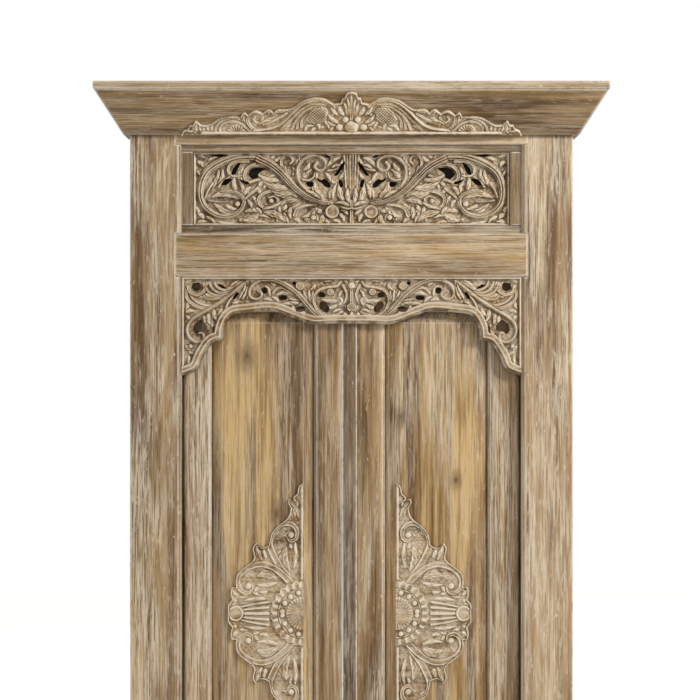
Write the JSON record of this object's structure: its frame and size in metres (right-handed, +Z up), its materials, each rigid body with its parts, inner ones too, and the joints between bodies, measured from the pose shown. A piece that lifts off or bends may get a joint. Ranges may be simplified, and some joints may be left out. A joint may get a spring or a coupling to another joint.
{
  "type": "carved double door with frame",
  "caption": "Whitewashed teak double door in its frame: sloping cornice with carved crest, pierced transom light, scalloped carved lambrequin and two panelled leaves with half medallions",
  "frame": {"origin": "middle of the underside of the threshold, at the bottom of the frame", "axes": "+Z up, the carved front faces -Y, +X to the right of a viewer in front"},
  "size_m": [1.376, 0.2082, 2.4],
  "materials": {
    "washed_teak": "whitewashed and rubbed recycled teak, matt",
    "carved_teak": "carved teak with white wash on the arrises and brown in the hollows",
    "panel_teak": "golden teak boards, lightly washed, matt",
    "plain_teak": "plain oiled teak",
    "dark_board": "black stained board, matt"
  },
  "bodies": {
    "frame": {"threshold": "washed_teak", "transom_rail": "washed_teak", "frame_head": "washed_teak", "jamb_left": "washed_teak", "jamb_right": "washed_teak", "frame_pegs": "plain_teak", "cornice_front": "washed_teak", "cornice_return_left": "washed_teak", "cornice_return_right": "washed_teak", "cornice_cap": "washed_teak", "crest_carving": "carved_teak", "transom_bead_top": "washed_teak", "transom_bead_bottom": "washed_teak", "transom_bead_left": "washed_teak", "transom_bead_right": "washed_teak", "transom_fretwork": "carved_teak", "transom_backing": "dark_board", "lambrequin": "carved_teak"},
    "left_leaf": {"left_hinge_stile": "washed_teak", "left_meeting_stile": "washed_teak", "left_top_rail": "washed_teak", "left_bottom_rail": "washed_teak", "left_panel": "panel_teak", "left_medallion": "carved_teak", "left_leaf_pegs": "plain_teak", "bolt_keeper": "plain_teak"},
    "right_leaf": {"right_hinge_stile": "washed_teak", "right_meeting_stile": "washed_teak", "right_top_rail": "washed_teak", "right_bottom_rail": "washed_teak", "right_panel": "panel_teak", "right_medallion": "carved_teak", "right_leaf_pegs": "plain_teak", "meeting_strip": "washed_teak", "bolt_guides": "plain_teak"},
    "bolt": {"slide_bolt": "plain_teak"}
  },
  "joints": [
    {"name": "left_leaf_swing", "type": "hinge", "parent": "frame", "child": "left_leaf", "pos_m": [-0.449, 0.01, 0.96], "axis": [0, 0, 1], "range_deg": [0, 95]},
    {"name": "right_leaf_swing", "type": "hinge", "parent": "frame", "child": "right_leaf", "pos_m": [0.449, 0.01, 0.96], "axis": [0, 0, -1], "range_deg": [0, 95]},
    {"name": "bolt_slide", "type": "slide", "parent": "right_leaf", "child": "bolt", "axis": [-1, 0, 0], "range_m": [0, 0.05]}
  ]
}
